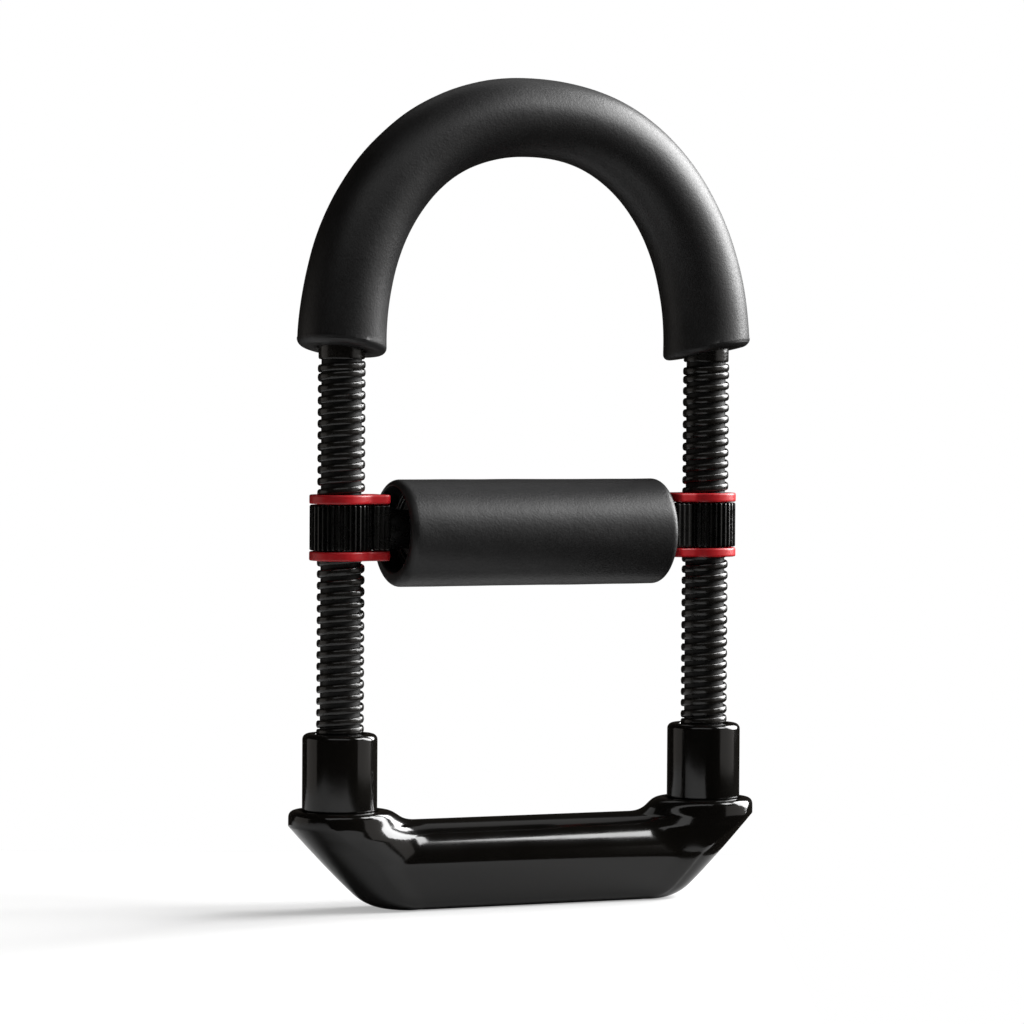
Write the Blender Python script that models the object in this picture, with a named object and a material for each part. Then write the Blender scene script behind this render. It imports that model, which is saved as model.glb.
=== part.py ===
"""Hand grip strengthener: a foam-covered arch on two sprung legs, and a foam handle that travels along them.

The frame is one round tube bent into a U and set upside down in a cast base. A long coil spring stands
round each leg. The handle ends in two hubs. Between a hub's guide plates a ribbed wheel is threaded on the
spring.

Units are metres, +Z is up, and the origin is the centre of the base's flat underside. X runs across the legs.
"""

import math

import bmesh
import bpy
from mathutils import Vector

MM = 0.001
GAP = 0.3 * MM  # left between pieces that touch

# Frame
LEG_SPACING = 125.0 * MM
LEG_X = LEG_SPACING / 2
SIDES = {"left": -1, "right": 1}
TUBE_RADIUS = 6.2 * MM
TUBE_WALL = 1.6 * MM
TUBE_FOOT_Z = 20.5 * MM
TUBE_SIDES = 20
ARCH_SPRING_Z = 170.0 * MM  # the legs are straight up to here
ARCH_TOP_Z = 244.0 * MM  # the tube's axis at the crown
ARCH_FULLNESS = 2.18  # exponent of the arch's curve: 2 is an ellipse, more is squarer
ARCH_STEPS = 20

# Foam over the arch
FOAM_END_Z = 171.5 * MM
FOAM_END_RADIUS = 13.7 * MM
FOAM_CROWN_RADIUS = 12.2 * MM
FOAM_END_SLANT = 0.16  # rise over run: the side towards the middle hangs lower
FOAM_CHAMFER = 1.2 * MM
FOAM_SIDES = 18

# Base
BASE_FLAT_HALF = 47.0 * MM
BASE_SOLE_HALF_WIDTH = 10.0 * MM
BASE_SOLE_BEVEL = 1.6 * MM
BAR_RADIUS = 13.0 * MM
BAR_AXIS_Z = 14.3 * MM
PAD_RADIUS = 15.7 * MM
PAD_TOP_Z = 31.0 * MM
PAD_RIM_Z = 26.2 * MM
PAD_RIM_BEVEL = 1.2 * MM
PAD_SIDES = 32
END_HULL_INSET = 0.35 * MM  # the hull below a pad starts this far inside its rim
END_HULL_RIM_DROP = 3.0 * MM
END_HULL_RIM_INSET = 3.2 * MM
END_HULL_OVERLAP = 1.0 * MM  # into the bar
COLLAR_RECESS = 1.2 * MM

# Collars and spring seats
COLLAR_RADIUS = 11.5 * MM
COLLAR_TOP_Z = 54.5 * MM
COLLAR_LIP = 1.5 * MM
COLLAR_MOUTH_RADIUS = 8.0 * MM
COLLAR_MOUTH_CHAMFER = 0.4 * MM
COLLAR_FLOOR_Z = 51.0 * MM
SEAT_RADIUS = 7.6 * MM
SEAT_THICKNESS = 0.9 * MM

# Springs
WIRE_HALF_HEIGHT = 0.95 * MM
WIRE_HALF_DEPTH = 0.5 * MM
WIRE_SIDES = 5
SPRING_RADIUS = 7.0 * MM  # axis of the wire
SPRING_PITCH = 3.5 * MM
SPRING_TOP_Z = 168.4 * MM
CLOSED_TURNS = 1.25
CLOSED_PITCH = 2 * WIRE_HALF_HEIGHT + 0.05 * MM
STEPS_PER_TURN = 14

# Stop rings above the springs
STOP_RADIUS = 7.1 * MM
STOP_TOP_Z = 174.8 * MM
STOP_PIN_Z = 173.0 * MM
STOP_PIN_RADIUS = 1.0 * MM
STOP_CHAMFER = 0.4 * MM

# Adjuster wheels, guide plates and hubs
STACK_Z = 117.4 * MM  # middle of the wheels
PLATE_THICKNESS = 2.8 * MM
PLATE_RADIUS = 9.7 * MM
WHEEL_HEIGHT = 13.9 * MM
WHEEL_RADIUS = 9.6 * MM
RIB_DEPTH = 0.7 * MM
RIB_COUNT = 34
RIB_SECTION = ((0.0, 0.0), (0.45, 0.0), (0.6, 1.0), (0.85, 1.0))  # share of a rib's turn, share of its depth
THREAD_CLEARANCE_RADIUS = SPRING_RADIUS + WIRE_HALF_DEPTH + GAP
BORE_SIDES = 32
ARM_HALF_WIDTH = 7.5 * MM
ARM_END = 14.0 * MM  # from the leg's axis, towards the middle
ARM_CORNER = 2.0 * MM
ARM_CORNER_STEPS = 4
PLATE_DISC_STEPS = 28
HUB_START = 8.0 * MM
HUB_END = 13.7 * MM
HUB_HALF_WIDTH = 7.0 * MM
HUB_CLEARANCE = 0.4 * MM
SPIGOT_RADIUS = 6.0 * MM
SPIGOT_END = 34.0 * MM
SPIGOT_SIDES = 24

# Handle
HANDLE_Z = 116.8 * MM
HANDLE_HALF_LENGTH = 45.5 * MM
GRIP_RADIUS = 16.5 * MM
GRIP_SAG = 1.3 * MM  # the foam's outside hangs lower than its bore
GRIP_CHAMFER = 1.5 * MM
CORE_RADIUS = 12.9 * MM
CORE_WALL = 1.5 * MM
CORE_HALF_LENGTH = 39.5 * MM
PLUG_LENGTH = 12.0 * MM
GRIP_SIDES = 32
HUB_PIN_X = 33.5 * MM
HUB_PIN_RADIUS = 1.5 * MM

# Cross pins that hold the legs in the base
LEG_PIN_Z = 25.3 * MM
LEG_PIN_RADIUS = 1.5 * MM
LEG_PIN_FRONT_Y = -8.1 * MM
LEG_PIN_BACK_Y = 13.2 * MM

TURNED_SIDES = 28
SMALL_SIDES = 24
PIN_SIDES = 12
SHARP_ANGLE = 35  # degrees


def clear_scene():
    for obj in list(bpy.data.objects):
        bpy.data.objects.remove(obj, do_unlink=True)


def make_material(name, colour, roughness, metallic=0.0):
    material = bpy.data.materials.new(name)
    material.use_nodes = True
    shader = material.node_tree.nodes["Principled BSDF"]
    shader.inputs["Base Color"].default_value = (*colour, 1.0)
    shader.inputs["Roughness"].default_value = roughness
    shader.inputs["Metallic"].default_value = metallic
    return material


def add_object(name, bm, material, origin=(0.0, 0.0, 0.0)):
    """An object from a bmesh drawn about its own origin, placed by its location."""
    bmesh.ops.recalc_face_normals(bm, faces=bm.faces)
    mesh = bpy.data.meshes.new(name)
    bm.to_mesh(mesh)
    bm.free()
    mesh.shade_smooth()
    mesh.set_sharp_from_angle(angle=math.radians(SHARP_ANGLE))
    mesh.materials.append(material)
    obj = bpy.data.objects.new(name, mesh)
    obj.location = origin
    bpy.context.scene.collection.objects.link(obj)
    return obj


def helper(name, bm, origin=(0.0, 0.0, 0.0)):
    """A shape that only a Boolean uses."""
    obj = add_object(name, bm, bpy.data.materials["helper"], origin)
    obj.hide_render = True
    obj.display_type = "WIRE"
    return obj


def combine(obj, other, operation):
    modifier = obj.modifiers.new(other.name, "BOOLEAN")
    modifier.operation = operation
    modifier.object = other


def loft(rings, closed=False):
    """Rings of equally many points, joined in order: capped at both ends, or closed back on the first."""
    bm = bmesh.new()
    loops = [[bm.verts.new(point) for point in ring] for ring in rings]
    count = len(loops[0])
    pairs = list(zip(loops, loops[1:]))
    if closed:
        pairs.append((loops[-1], loops[0]))
    for lower, upper in pairs:
        for i in range(count):
            j = (i + 1) % count
            bm.faces.new((lower[i], lower[j], upper[j], upper[i]))
    if not closed:
        bm.faces.new(loops[0])
        bm.faces.new(loops[-1])
    return bm


def circle(radius, count):
    angles = [2 * math.pi * i / count for i in range(count)]
    return [(radius * math.cos(a), radius * math.sin(a)) for a in angles]


def ring_z(radius, z, count):
    return [Vector((x, y, z)) for x, y in circle(radius, count)]


def turned(profile, count=TURNED_SIDES, closed=True):
    """A (radius, z) profile turned about Z: a closed section gives a ring, an open one a solid."""
    return loft([ring_z(radius, z, count) for radius, z in profile], closed)


def rod_along(axis, start, end, radius, count=16):
    """A plain round rod along X, Y or Z."""
    rings = []
    for place in (start, end):
        ring = []
        for u, v in circle(radius, count):
            point = [u, v]
            point.insert(axis, place)
            ring.append(Vector(point))
        rings.append(ring)
    return loft(rings)


def arch_point(angle):
    """A point of the arch: angle runs from 0 on the right leg to pi on the left leg."""
    power = 2 / ARCH_FULLNESS
    across = math.copysign(abs(math.cos(angle)) ** power, math.cos(angle))
    up = abs(math.sin(angle)) ** power
    return Vector((LEG_X * across, 0, ARCH_SPRING_Z + (ARCH_TOP_Z - ARCH_SPRING_Z) * up))


def u_stations(foot_z):
    """Centre, inward direction and share of the arch (0 on the legs, 1 at the crown) along the U."""
    stations = [(Vector((-LEG_X, 0, foot_z)), Vector((1, 0, 0)), 0.0)]
    for step in range(ARCH_STEPS + 1):
        angle = math.pi * (1 - step / ARCH_STEPS)
        nudge = 0.25 * math.pi / ARCH_STEPS
        along = arch_point(max(angle - nudge, 0.0)) - arch_point(min(angle + nudge, math.pi))
        if step in (0, ARCH_STEPS):
            along = Vector((0, 0, 1 if step == 0 else -1))
        inward = Vector((along.z, 0, -along.x)).normalized()
        stations.append((arch_point(angle), inward, math.sin(angle)))
    stations.append((Vector((LEG_X, 0, foot_z)), Vector((-1, 0, 0)), 0.0))
    return stations


def u_ring(station, radius, count, slant=0.0):
    centre, inward, _ = station
    ring = []
    for u, v in circle(radius, count):
        point = centre + u * inward + v * Vector((0, 1, 0))
        point.z -= slant * u
        ring.append(point)
    return ring


def make_frame_tube(steel):
    stations = u_stations(TUBE_FOOT_Z)
    outside = [u_ring(station, TUBE_RADIUS, TUBE_SIDES) for station in stations]
    inside = [u_ring(station, TUBE_RADIUS - TUBE_WALL, TUBE_SIDES) for station in reversed(stations)]
    tube = add_object("u_frame_tube", loft(outside + inside, closed=True), steel)
    for side, sign in SIDES.items():
        for use, z, radius in (
            ("stop", STOP_PIN_Z, STOP_PIN_RADIUS),
            ("leg", LEG_PIN_Z, LEG_PIN_RADIUS),
        ):
            hole = rod_along(1, -2 * TUBE_RADIUS, 2 * TUBE_RADIUS, radius + GAP)
            combine(tube, helper(f"{side}_{use}_pin_hole", hole, (sign * LEG_X, 0, z)), "DIFFERENCE")


def make_arch_foam(foam):
    """A hollow sleeve over the arch: out along its skin and back along its bore, which widens at the ends."""

    def foot(height, radius, slant):
        rings = []
        for sign in (-1, 1):
            station = (Vector((sign * LEG_X, 0, FOAM_END_Z + height)), Vector((-sign, 0, 0)), 0.0)
            rings.append(u_ring(station, radius, FOAM_SIDES, slant))
        return rings

    arch = u_stations(FOAM_END_Z)[2:-2]
    skin = []
    for station in arch:
        radius = FOAM_END_RADIUS + (FOAM_CROWN_RADIUS - FOAM_END_RADIUS) * station[2]
        skin.append(u_ring(station, radius, FOAM_SIDES))
    bore = [u_ring(station, TUBE_RADIUS + GAP, FOAM_SIDES) for station in arch]
    mouth_radius = STOP_RADIUS + GAP
    mouth_height = STOP_TOP_Z + GAP - FOAM_END_Z
    chamfer = foot(0.0, FOAM_END_RADIUS - FOAM_CHAMFER, FOAM_END_SLANT)
    edge = foot(FOAM_CHAMFER, FOAM_END_RADIUS, FOAM_END_SLANT)
    mouth = foot(0.0, mouth_radius, FOAM_END_SLANT)
    step = foot(mouth_height, mouth_radius, 0.0)
    shoulder = foot(mouth_height, TUBE_RADIUS + GAP, 0.0)
    rings = [chamfer[0], edge[0], *skin, edge[1], chamfer[1], mouth[1], step[1], shoulder[1]]
    rings += [*reversed(bore), shoulder[0], step[0], mouth[0]]
    add_object("arch_foam_grip", loft(rings, closed=True), foam)


def bar_section(x):
    """The bar's outline across Y and Z: a flat sole, flared sides and a round crown."""
    half = BASE_SOLE_HALF_WIDTH
    right = [(half - BASE_SOLE_BEVEL, 0.0), (half, BASE_SOLE_BEVEL)]
    crown_steps = 10
    crown = []
    for step in range(crown_steps + 1):
        angle = math.pi * step / crown_steps
        crown.append((BAR_RADIUS * math.cos(angle), BAR_AXIS_Z + BAR_RADIUS * math.sin(angle)))
    left = [(-y, z) for y, z in reversed(right)]
    return [Vector((x, y, z)) for y, z in right + crown + left]


def hull_of(points):
    bm = bmesh.new()
    for point in points:
        bm.verts.new(point)
    result = bmesh.ops.convex_hull(bm, input=bm.verts)
    bmesh.ops.delete(bm, geom=result["geom_interior"], context="VERTS")
    return bm


def make_base(gloss):
    """The bar, with a hull-shaped end under each round pad."""
    base = add_object("base_bar", loft([bar_section(-BASE_FLAT_HALF), bar_section(BASE_FLAT_HALF)]), gloss)
    pad_profile = [
        (PAD_RADIUS - PAD_RIM_BEVEL, PAD_RIM_Z - PAD_RIM_BEVEL),
        (PAD_RADIUS, PAD_RIM_Z),
        (PAD_RADIUS, PAD_TOP_Z - PAD_RIM_BEVEL),
        (PAD_RADIUS - 0.3 * PAD_RIM_BEVEL, PAD_TOP_Z - 0.3 * PAD_RIM_BEVEL),
        (PAD_RADIUS - PAD_RIM_BEVEL, PAD_TOP_Z),
    ]
    for side, sign in SIDES.items():
        leg = Vector((sign * LEG_X, 0, 0))
        rim = ring_z(PAD_RADIUS - END_HULL_INSET, PAD_RIM_Z, PAD_SIDES)
        rim += ring_z(PAD_RADIUS - END_HULL_RIM_INSET, PAD_RIM_Z - END_HULL_RIM_DROP, PAD_SIDES)
        bar_end = bar_section(sign * (BASE_FLAT_HALF - END_HULL_OVERLAP))
        end = hull_of([leg + point for point in rim] + bar_end)
        combine(base, helper(f"{side}_base_end", end), "UNION")
        pad = turned(pad_profile, PAD_SIDES, closed=False)
        combine(base, helper(f"{side}_base_pad", pad, leg), "UNION")
    for side, sign in SIDES.items():
        leg = Vector((sign * LEG_X, 0, 0))
        recess_radius = COLLAR_RADIUS + GAP
        recess_profile = [(recess_radius, PAD_TOP_Z - COLLAR_RECESS), (recess_radius, 2 * PAD_TOP_Z)]
        recess = turned(recess_profile, PAD_SIDES, closed=False)
        combine(base, helper(f"{side}_collar_recess", recess, leg), "DIFFERENCE")
        socket_profile = [(TUBE_RADIUS + GAP, TUBE_FOOT_Z - GAP), (TUBE_RADIUS + GAP, PAD_TOP_Z)]
        socket = turned(socket_profile, TUBE_SIDES, closed=False)
        combine(base, helper(f"{side}_leg_socket", socket, leg), "DIFFERENCE")
        pin_hole = rod_along(1, LEG_PIN_FRONT_Y - GAP, 2 * PAD_RADIUS, LEG_PIN_RADIUS + GAP)
        pin_origin = leg + Vector((0, 0, LEG_PIN_Z))
        combine(base, helper(f"{side}_base_pin_hole", pin_hole, pin_origin), "DIFFERENCE")


def make_collar(side, leg, gloss):
    foot_z = PAD_TOP_Z - COLLAR_RECESS + GAP
    lip = []
    lip_steps = 3
    for step in range(lip_steps + 1):
        angle = math.pi / 2 * step / lip_steps
        radius = COLLAR_RADIUS - COLLAR_LIP + COLLAR_LIP * math.cos(angle)
        lip.append((radius, COLLAR_TOP_Z - COLLAR_LIP + COLLAR_LIP * math.sin(angle)))
    profile = [(TUBE_RADIUS + GAP, foot_z), (COLLAR_RADIUS, foot_z), *lip]
    profile += [
        (COLLAR_MOUTH_RADIUS + COLLAR_MOUTH_CHAMFER, COLLAR_TOP_Z),
        (COLLAR_MOUTH_RADIUS, COLLAR_TOP_Z - COLLAR_MOUTH_CHAMFER),
        (COLLAR_MOUTH_RADIUS, COLLAR_FLOOR_Z),
        (TUBE_RADIUS + GAP, COLLAR_FLOOR_Z),
    ]
    add_object(f"{side}_collar", turned(profile), gloss, leg)


def make_seat(side, leg, steel):
    bottom = COLLAR_FLOOR_Z + GAP
    top = bottom + SEAT_THICKNESS
    bore = TUBE_RADIUS + GAP
    profile = [(bore, bottom), (SEAT_RADIUS, bottom), (SEAT_RADIUS, top), (bore, top)]
    add_object(f"{side}_spring_seat", turned(profile, SMALL_SIDES), steel, leg)


def spring_path():
    """Points on the wire's axis, right-handed, with a closed coil at each end."""
    bottom = COLLAR_FLOOR_Z + 2 * GAP + SEAT_THICKNESS + WIRE_HALF_HEIGHT
    top = SPRING_TOP_Z - WIRE_HALF_HEIGHT
    closed_height = CLOSED_TURNS * CLOSED_PITCH
    active_turns = round((top - bottom - 2 * closed_height) / SPRING_PITCH * 2) / 2
    active_pitch = (top - bottom - 2 * closed_height) / active_turns
    turns = 2 * CLOSED_TURNS + active_turns
    steps = round(turns * STEPS_PER_TURN)
    path = []
    for step in range(steps + 1):
        turn = turns * step / steps
        lower = min(turn, CLOSED_TURNS)
        upper = max(turn - CLOSED_TURNS - active_turns, 0.0)
        z = bottom + (lower + upper) * CLOSED_PITCH + (turn - lower - upper) * active_pitch
        path.append((2 * math.pi * turn, z))
    return path


def make_spring(side, leg, steel):
    section = circle(1.0, WIRE_SIDES)
    rings = []
    for angle, z in spring_path():
        outward = Vector((math.cos(angle), math.sin(angle), 0))
        ring = []
        for u, v in section:
            reach = SPRING_RADIUS + WIRE_HALF_DEPTH * u
            ring.append(reach * outward + Vector((0, 0, z + WIRE_HALF_HEIGHT * v)))
        rings.append(ring)
    add_object(f"{side}_spring", loft(rings), steel, leg)


def make_stop(side, leg, steel):
    bottom = SPRING_TOP_Z + GAP
    bore = TUBE_RADIUS + GAP
    profile = [
        (bore, bottom),
        (STOP_RADIUS - STOP_CHAMFER, bottom),
        (STOP_RADIUS, bottom + STOP_CHAMFER),
        (STOP_RADIUS, STOP_TOP_Z),
        (bore, STOP_TOP_Z),
    ]
    stop = add_object(f"{side}_spring_stop", turned(profile, SMALL_SIDES), steel, leg)
    hole = rod_along(1, -2 * STOP_RADIUS, 2 * STOP_RADIUS, STOP_PIN_RADIUS + GAP)
    pin_origin = leg + Vector((0, 0, STOP_PIN_Z))
    combine(stop, helper(f"{side}_stop_hole", hole, pin_origin), "DIFFERENCE")
    half = STOP_RADIUS - 2 * GAP
    pin = rod_along(1, -half, half, STOP_PIN_RADIUS, PIN_SIDES)
    add_object(f"{side}_stop_pin", pin, steel, pin_origin)


def make_wheel(side, leg, plastic):
    """A ribbed ring: the outline is filled flat, then drawn up into a solid."""
    bm = bmesh.new()
    rib_turn = 2 * math.pi / RIB_COUNT
    outline = []
    for rib in range(RIB_COUNT):
        for share, depth in RIB_SECTION:
            angle = rib_turn * (rib + share)
            radius = WHEEL_RADIUS - depth * RIB_DEPTH
            outline.append((radius * math.cos(angle), radius * math.sin(angle)))
    edges = []
    for loop in (outline, circle(THREAD_CLEARANCE_RADIUS, BORE_SIDES)):
        verts = [bm.verts.new((x, y, -WHEEL_HEIGHT / 2)) for x, y in loop]
        edges += [bm.edges.new((verts[i - 1], verts[i])) for i in range(len(verts))]
    bmesh.ops.triangle_fill(bm, edges=edges, use_beauty=True)
    raised = bmesh.ops.extrude_face_region(bm, geom=bm.faces[:])
    top = [item for item in raised["geom"] if isinstance(item, bmesh.types.BMVert)]
    bmesh.ops.translate(bm, verts=top, vec=(0, 0, WHEEL_HEIGHT))
    add_object(f"{side}_adjuster_wheel", bm, plastic, leg + Vector((0, 0, STACK_Z)))


def plate_outline():
    """A guide plate in plan: a disc round the leg and an arm that runs inboard, with rounded corners."""
    arm_start = math.asin(ARM_HALF_WIDTH / PLATE_RADIUS)
    outline = []
    for quarter in (-1, 1):
        centre_y = quarter * (ARM_HALF_WIDTH - ARM_CORNER)
        for step in range(ARM_CORNER_STEPS + 1):
            angle = math.pi / 2 * step / ARM_CORNER_STEPS
            if quarter < 0:
                angle -= math.pi / 2
            x = ARM_END - ARM_CORNER + ARM_CORNER * math.cos(angle)
            outline.append((x, centre_y + ARM_CORNER * math.sin(angle)))
    for step in range(PLATE_DISC_STEPS + 1):
        angle = arm_start + (2 * math.pi - 2 * arm_start) * step / PLATE_DISC_STEPS
        outline.append((PLATE_RADIUS * math.cos(angle), PLATE_RADIUS * math.sin(angle)))
    return outline


def make_guide_plates(side, sign, leg, plastic):
    """The two red plates, above and below the wheel, that slide along the leg."""
    inner = WHEEL_HEIGHT / 2 + GAP
    for place, bottom in (("upper", inner), ("lower", -inner - PLATE_THICKNESS)):
        levels = []
        for z in (bottom, bottom + PLATE_THICKNESS):
            levels.append([Vector((-sign * x, y, z)) for x, y in plate_outline()])
        origin = leg + Vector((0, 0, STACK_Z))
        plate = add_object(f"{side}_{place}_plate", loft(levels), plastic, origin)
        bore_ends = (bottom - PLATE_THICKNESS, bottom + 2 * PLATE_THICKNESS)
        bore = rod_along(2, *bore_ends, THREAD_CLEARANCE_RADIUS, BORE_SIDES)
        combine(plate, helper(f"{side}_{place}_bore", bore, origin), "DIFFERENCE")


def make_hub(side, sign, leg, plastic):
    """The block between the plates, hollowed round the wheel, and its spigot into the handle."""
    origin = leg + Vector((0, 0, STACK_Z))
    half = WHEEL_HEIGHT / 2
    sides = []
    for z in (-half, half):
        corners = (
            (HUB_START, -HUB_HALF_WIDTH),
            (HUB_END, -HUB_HALF_WIDTH),
            (HUB_END, HUB_HALF_WIDTH),
            (HUB_START, HUB_HALF_WIDTH),
        )
        sides.append([Vector((-sign * x, y, z)) for x, y in corners])
    hub = add_object(f"{side}_hub", loft(sides), plastic, origin)
    hollow = rod_along(2, -2 * half, 2 * half, WHEEL_RADIUS + HUB_CLEARANCE, BORE_SIDES)
    combine(hub, helper(f"{side}_hub_hollow", hollow, origin), "DIFFERENCE")
    spigot_start = HUB_END - GAP
    spigot = rod_along(0, -sign * spigot_start, -sign * SPIGOT_END, SPIGOT_RADIUS, SPIGOT_SIDES)
    combine(hub, helper(f"{side}_spigot", spigot, leg + Vector((0, 0, HANDLE_Z))), "UNION")
    hole = rod_along(2, -2 * SPIGOT_RADIUS, 2 * SPIGOT_RADIUS, HUB_PIN_RADIUS + GAP)
    hole_origin = (sign * HUB_PIN_X, 0, HANDLE_Z)
    combine(hub, helper(f"{side}_spigot_pin_hole", hole, hole_origin), "DIFFERENCE")


def make_plug(side, sign, plastic):
    """The disc that centres the spigot in the core tube."""
    inner = CORE_HALF_LENGTH - PLUG_LENGTH
    rings = []
    for x, radius in (
        (CORE_HALF_LENGTH, SPIGOT_RADIUS + GAP),
        (CORE_HALF_LENGTH, CORE_RADIUS - CORE_WALL - GAP),
        (inner, CORE_RADIUS - CORE_WALL - GAP),
        (inner, SPIGOT_RADIUS + GAP),
    ):
        rings.append([Vector((sign * x, u, v)) for u, v in circle(radius, SMALL_SIDES)])
    plug = add_object(f"{side}_end_plug", loft(rings, closed=True), plastic, (0, 0, HANDLE_Z))
    hole = rod_along(2, -2 * CORE_RADIUS, 2 * CORE_RADIUS, HUB_PIN_RADIUS + GAP)
    combine(plug, helper(f"{side}_plug_pin_hole", hole, (sign * HUB_PIN_X, 0, HANDLE_Z)), "DIFFERENCE")


def make_hub_pin(side, sign, steel):
    half = CORE_RADIUS - GAP
    pin = rod_along(2, -half, half, HUB_PIN_RADIUS, PIN_SIDES)
    add_object(f"{side}_hub_pin", pin, steel, (sign * HUB_PIN_X, 0, HANDLE_Z))


def make_core_tube(plastic):
    inner_radius = CORE_RADIUS - CORE_WALL
    rings = []
    for x, radius in (
        (-CORE_HALF_LENGTH, inner_radius),
        (-CORE_HALF_LENGTH, CORE_RADIUS),
        (CORE_HALF_LENGTH, CORE_RADIUS),
        (CORE_HALF_LENGTH, inner_radius),
    ):
        rings.append([Vector((x, u, v)) for u, v in circle(radius, GRIP_SIDES)])
    tube = add_object("handle_core_tube", loft(rings, closed=True), plastic, (0, 0, HANDLE_Z))
    for side, sign in SIDES.items():
        hole = rod_along(2, -2 * CORE_RADIUS, 2 * CORE_RADIUS, HUB_PIN_RADIUS + GAP)
        combine(tube, helper(f"{side}_tube_pin_hole", hole, (sign * HUB_PIN_X, 0, HANDLE_Z)), "DIFFERENCE")


def make_handle_foam(foam):
    """A foam tube whose outside sits a little lower than its bore."""
    bore = CORE_RADIUS + GAP
    section = [
        (-1, 0.0, bore, 0.0),
        (-1, 0.0, GRIP_RADIUS - GRIP_CHAMFER, GRIP_SAG),
        (-1, GRIP_CHAMFER, GRIP_RADIUS, GRIP_SAG),
        (1, GRIP_CHAMFER, GRIP_RADIUS, GRIP_SAG),
        (1, 0.0, GRIP_RADIUS - GRIP_CHAMFER, GRIP_SAG),
        (1, 0.0, bore, 0.0),
    ]
    rings = []
    for sign, inset, radius, drop in section:
        x = sign * (HANDLE_HALF_LENGTH - inset)
        rings.append([Vector((x, u, v - drop)) for u, v in circle(radius, GRIP_SIDES)])
    add_object("handle_foam_grip", loft(rings, closed=True), foam, (0, 0, HANDLE_Z))


def make_leg_pin(side, leg, steel):
    pin = rod_along(1, LEG_PIN_FRONT_Y, LEG_PIN_BACK_Y, LEG_PIN_RADIUS, PIN_SIDES)
    add_object(f"{side}_leg_pin", pin, steel, leg + Vector((0, 0, LEG_PIN_Z)))


def main():
    clear_scene()
    make_material("helper", (0.5, 0.5, 0.5), 0.5)
    black_steel = make_material("black_steel", (0.012, 0.012, 0.013), 0.25, 0.3)
    bright_steel = make_material("bright_steel", (0.55, 0.55, 0.56), 0.35, 1.0)
    foam = make_material("black_foam", (0.022, 0.022, 0.024), 0.6)
    gloss_black = make_material("gloss_black", (0.008, 0.007, 0.006), 0.08)
    black_plastic = make_material("black_plastic", (0.012, 0.012, 0.012), 0.3)
    red_plastic = make_material("red_plastic", (0.55, 0.012, 0.016), 0.35)

    make_frame_tube(black_steel)
    make_arch_foam(foam)
    make_base(gloss_black)
    make_core_tube(black_plastic)
    make_handle_foam(foam)
    for side, sign in SIDES.items():
        leg = Vector((sign * LEG_X, 0, 0))
        make_collar(side, leg, gloss_black)
        make_seat(side, leg, bright_steel)
        make_spring(side, leg, black_steel)
        make_stop(side, leg, black_steel)
        make_leg_pin(side, leg, bright_steel)
        make_wheel(side, leg, black_plastic)
        make_guide_plates(side, sign, leg, red_plastic)
        make_hub(side, sign, leg, black_plastic)
        make_plug(side, sign, black_plastic)
        make_hub_pin(side, sign, bright_steel)


main()
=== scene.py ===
"""Looks of the hand grip strengthener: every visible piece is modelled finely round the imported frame."""

import math

import bmesh
import bpy
import numpy as np
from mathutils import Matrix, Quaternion, Vector, noise


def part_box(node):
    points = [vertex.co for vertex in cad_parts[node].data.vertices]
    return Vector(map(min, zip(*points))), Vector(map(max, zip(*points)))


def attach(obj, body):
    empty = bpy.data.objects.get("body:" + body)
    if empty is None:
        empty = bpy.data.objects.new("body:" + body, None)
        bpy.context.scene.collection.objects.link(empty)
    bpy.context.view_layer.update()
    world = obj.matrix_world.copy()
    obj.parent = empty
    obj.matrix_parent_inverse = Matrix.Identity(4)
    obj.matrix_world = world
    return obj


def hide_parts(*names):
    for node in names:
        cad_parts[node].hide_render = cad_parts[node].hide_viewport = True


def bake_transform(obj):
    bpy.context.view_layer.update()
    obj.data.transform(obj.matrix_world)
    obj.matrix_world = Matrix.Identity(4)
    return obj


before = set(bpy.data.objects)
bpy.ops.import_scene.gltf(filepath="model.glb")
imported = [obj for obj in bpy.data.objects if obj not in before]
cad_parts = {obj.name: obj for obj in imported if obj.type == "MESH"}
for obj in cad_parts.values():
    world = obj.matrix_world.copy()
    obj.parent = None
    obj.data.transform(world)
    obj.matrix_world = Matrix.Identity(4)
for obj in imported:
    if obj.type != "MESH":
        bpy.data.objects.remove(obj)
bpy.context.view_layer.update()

MM = 0.001
SIDES = {"left": -1, "right": 1}


# ---------------------------------------------------------------- sizes, read from the frame

ROD_LOW, ROD_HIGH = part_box("u_frame_tube")
FOAM_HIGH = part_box("arch_foam_grip")[1]
BASE_LOW, BASE_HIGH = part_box("base_bar")
GRIP_LOW, GRIP_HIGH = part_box("handle_foam_grip")
CORE_LOW, CORE_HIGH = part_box("handle_core_tube")
PLUG_LOW, PLUG_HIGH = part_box("right_end_plug")
WHEEL_LOW, WHEEL_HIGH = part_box("right_adjuster_wheel")
PLATE_LOW, PLATE_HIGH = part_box("right_upper_plate")
HUB_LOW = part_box("right_hub")[0]
COLLAR_LOW, COLLAR_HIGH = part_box("right_collar")
SPRING_LOW, SPRING_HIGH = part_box("right_spring")
STOP_LOW, STOP_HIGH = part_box("right_spring_stop")

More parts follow.
